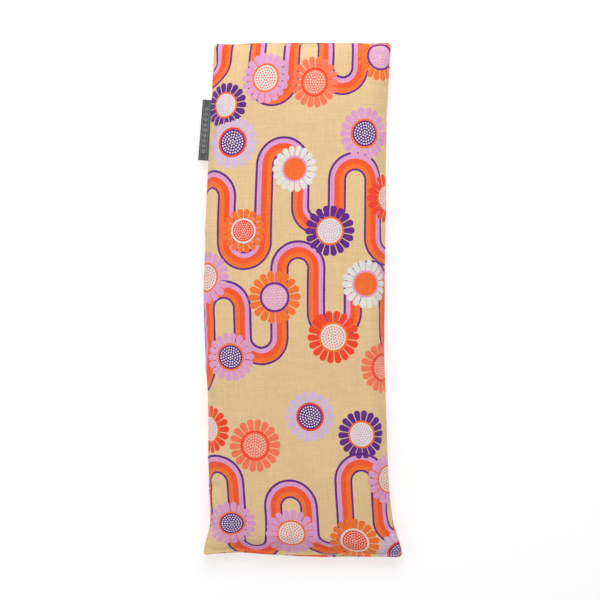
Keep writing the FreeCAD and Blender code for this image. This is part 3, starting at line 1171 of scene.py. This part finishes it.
inner = slice(2, -2)
BAG_STITCHES = stitches(
    "bag_seam_stitches",
    [
        bag_seam((0, inner), (1, 0, 0)),
        bag_seam((-1, inner), (-1, 0, 0)),
        bag_seam((inner, -1), (0, -1, 0)),
    ],
    *SEAM_STITCH, PALE_THREAD, 7,
)
BAG_CLOSING = stitches(
    "bag_closing_stitches", [bag_seam((inner, 0), (0, 1, 0))], *BAG_EDGE_STITCH, PALE_THREAD, 8,
)

KERNELS_PER_METRE = 260.0
KERNEL_DENT = 0.35 * MM


def grain_filling():
    """The grain as one heap that fills the bag, lumpy where the kernels press on the cloth."""
    front = inner_grid(FRONT, FRONT_OUT, GRAIN_DEPTH)
    back = inner_grid(BACK, BACK_OUT, GRAIN_DEPTH)
    shape = front.shape[:2]
    points = list(front.reshape(-1, 3))
    number_front = np.arange(len(points)).reshape(shape)
    number_back = number_front.copy()
    for i in range(1, shape[0] - 1):
        for j in range(1, shape[1] - 1):
            number_back[i, j] = len(points)
            points.append(back[i, j])
    piece = new_piece("grain", points, grid_faces(number_front) + grid_faces(number_back, -1))
    finer = piece.modifiers.new("finer", "SUBSURF")
    finer.levels = finer.render_levels = 1
    settle(piece)
    where = positions(piece.data)
    normals = np.zeros(len(where) * 3)
    piece.data.vertices.foreach_get("normal", normals)
    lumps = np.array([noise.noise(Vector(p) * KERNELS_PER_METRE) for p in where])
    where -= normals.reshape(-1, 3) * (KERNEL_DENT * (1 + lumps[:, None]))
    piece.data.vertices.foreach_set("co", where.ravel())
    piece.data.update()
    dress(piece, GRAIN)
    return piece


GRAIN_HEAP = grain_filling()


# ---------------- the woven tab

TAB_STATIONS = 56
TAB_INSIDE = (7.0, 5.8, 4.6, 3.4, 2.4)  # mm in from the seam
TAB_OUT = (0.0, 0.12, 0.26, 0.42, 0.58, 0.74, 0.88, 1.0)  # share of what shows
TAB_WAVE = 0.55 * MM
TAB_SKEW = 0.6 * MM


def woven_tab():
    """A folded tape: raw ends caught in the seam, fold standing out of it."""
    half_gap = TAPE / 2 + 0.02 * MM
    rows_y = FRONT_CLOTH[0, :, 1]
    stations = TAB_MIDDLE_Y + np.linspace(-TAB_LENGTH / 2, TAB_LENGTH / 2, TAB_STATIONS)
    out = outward(FRONT_CLOTH, 1)
    tilt = (left_edge(TAB_MIDDLE_Y + 0.02) - left_edge(TAB_MIDDLE_Y - 0.02)) / 0.04
    points = []
    places = []
    for y in stations:
        t = (y - stations[0]) / TAB_LENGTH
        j = float(np.interp(y, rows_y[LIP_ROWS:], np.arange(LIP_ROWS, len(rows_y))))
        seam = value_at(FRONT_CLOTH, [0.0], [j])[0]
        shows = TAB_SHOWS_AT_BOTTOM * (1 - t) + TAB_SHOWS_AT_TOP * t
        middle = []
        for inside in TAB_INSIDE:
            place = value_at(FRONT_CLOTH, [inside * MM / STEP], [j])[0]
            normal = value_at(out, [inside * MM / STEP], [j])[0]
            place = place - normal * (2 * COVER_FOLD + 0.16 * MM + TAPE)
            middle.append((place[0], y, place[2]))
        middle.append((seam[0] + 1.25 * MM, y, SEAM_Z + 0.35 * MM))
        middle.append((seam[0] + 0.6 * MM, y, SEAM_Z))
        for share in TAB_OUT:
            wave = TAB_WAVE * math.sin(t * 5.2 + 0.8) * share ** 1.5
            out_by = (shows - half_gap) * share
            middle.append((seam[0] - out_by, y + out_by * tilt, SEAM_Z + wave))
        middle = np.array(middle)
        tangent = unit(np.gradient(middle[:, [0, 2]], axis=0))
        across = np.stack([tangent[:, 1], np.zeros(len(middle)), -tangent[:, 0]], axis=1)
        upper = middle + across * half_gap
        lower = (middle - across * half_gap)[::-1]
        end = middle[-1]
        heading = np.array([tangent[-1, 0], 0.0, tangent[-1, 1]])
        turn = [
            end + heading * half_gap * math.sin(a) + across[-1] * half_gap * math.cos(a)
            for a in (math.radians(45), math.radians(90), math.radians(135))
        ]
        skew = TAB_SKEW * ease((t - 0.5) * 2)
        lower = lower + np.array([[0.0, skew, 0.0]]) * np.linspace(1.0, 0.0, len(lower))[:, None]
        profile = np.concatenate([upper, np.array(turn), lower])
        steps = np.linalg.norm(np.diff(profile, axis=0), axis=1)
        length = np.concatenate([[0.0], np.cumsum(steps)])
        length -= length[len(upper) + 1]
        points.append(profile)
        places.append(np.stack([length, np.full(len(length), y - TAB_MIDDLE_Y)], axis=1))
    grid = np.stack(points)
    number = np.arange(grid.shape[0] * grid.shape[1]).reshape(grid.shape[:2])
    piece = new_piece("woven_tab", grid.reshape(-1, 3), grid_faces(number))
    lay_flat(piece, np.stack(places).reshape(-1, 2))
    give_thickness(piece, TAPE, 0.0)
    dress(piece, TAB_TAPE)
    return piece


WOVEN_TAB = woven_tab()


# ---------------- what moves with what

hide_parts("cover_front_panel")
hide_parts("cover_back_panel")
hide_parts("cover_left_seam_thread")
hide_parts("cover_right_seam_thread")
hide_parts("cover_top_seam_thread")
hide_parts("cover_closing_thread")
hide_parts("inner_bag_front_panel")
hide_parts("inner_bag_back_panel")
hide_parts("inner_bag_seam_thread")
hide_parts("inner_bag_closing_thread")
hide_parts("grain_filling")
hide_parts("label_flap", "label_seam_edge")

FINISHES = {
    "printed_cloth": [COVER_FRONT, COVER_BACK],
    "calico": [BAG_FRONT, BAG_BACK],
    "sewing_thread": SEAM_STITCHES + [CLOSING_STITCHES, BAG_STITCHES, BAG_CLOSING],
    "loose_grain": [GRAIN_HEAP],
    "label_tape": [WOVEN_TAB],
}
for finish, pieces in FINISHES.items():
    for piece in pieces:
        if piece is not WOVEN_TAB:
            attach(piece, "pillow")

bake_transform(WOVEN_TAB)


# ---------------- floor, light and camera

FLOOR_REACH = 3.0
FLOOR_DROP = 0.1 * MM
FLOOR_GLOW = 0.52
WORLD_LIGHT = 0.53
PANEL_SIZE = 0.9
CAMERA_PLACE = (2.3 * MM, -0.5 * MM, SEAM_Z + 1.474)
CAMERA_LENS = 97.0
CAMERA_SENSOR = 36.0


def pale_floor():
    floor = new_piece("floor", square(FLOOR_REACH, -FLOOR_DROP), [(0, 1, 2, 3)])
    material, r, surface = new_material("pale floor")
    place = r.add("ShaderNodeTexCoord").outputs["Object"]
    pale = r.mix(r.noise(place, 3.0), colour(196, 196, 196), colour(200, 200, 200))
    r.feed(surface.inputs["Base Color"], pale)
    surface.inputs["Roughness"].default_value = 0.95
    surface.inputs["Specular IOR Level"].default_value = 0.0
    surface.inputs["Emission Color"].default_value = (1.0, 1.0, 1.0, 1.0)
    surface.inputs["Emission Strength"].default_value = FLOOR_GLOW
    dress(floor, material)


def soft_panel(name, place, power):
    light = bpy.data.lights.new(name, "AREA")
    light.shape = "SQUARE"
    light.size = PANEL_SIZE
    light.energy = power
    lamp = bpy.data.objects.new(name, light)
    lamp.location = place
    lamp.rotation_euler = (-Vector(place)).to_track_quat("-Z", "Y").to_euler()
    bpy.context.scene.collection.objects.link(lamp)


def studio():
    pale_floor()
    soft_panel("light above the sewn end", (0.0, 0.8, 0.95), 8.5)
    soft_panel("light at the left", (-1.3, 0.1, 1.2), 3.0)
    world = bpy.data.worlds.new("studio")
    world.use_nodes = True
    sky = world.node_tree.nodes["Background"].inputs
    sky["Color"].default_value = (1.0, 1.0, 1.0, 1.0)
    sky["Strength"].default_value = WORLD_LIGHT
    bpy.context.scene.world = world
    bpy.context.scene.view_settings.view_transform = "Standard"
    lens = bpy.data.cameras.new("camera")
    lens.lens = CAMERA_LENS
    lens.sensor_width = CAMERA_SENSOR
    camera = bpy.data.objects.new("camera", lens)
    camera.location = CAMERA_PLACE
    bpy.context.scene.collection.objects.link(camera)
    bpy.context.scene.camera = camera


studio()
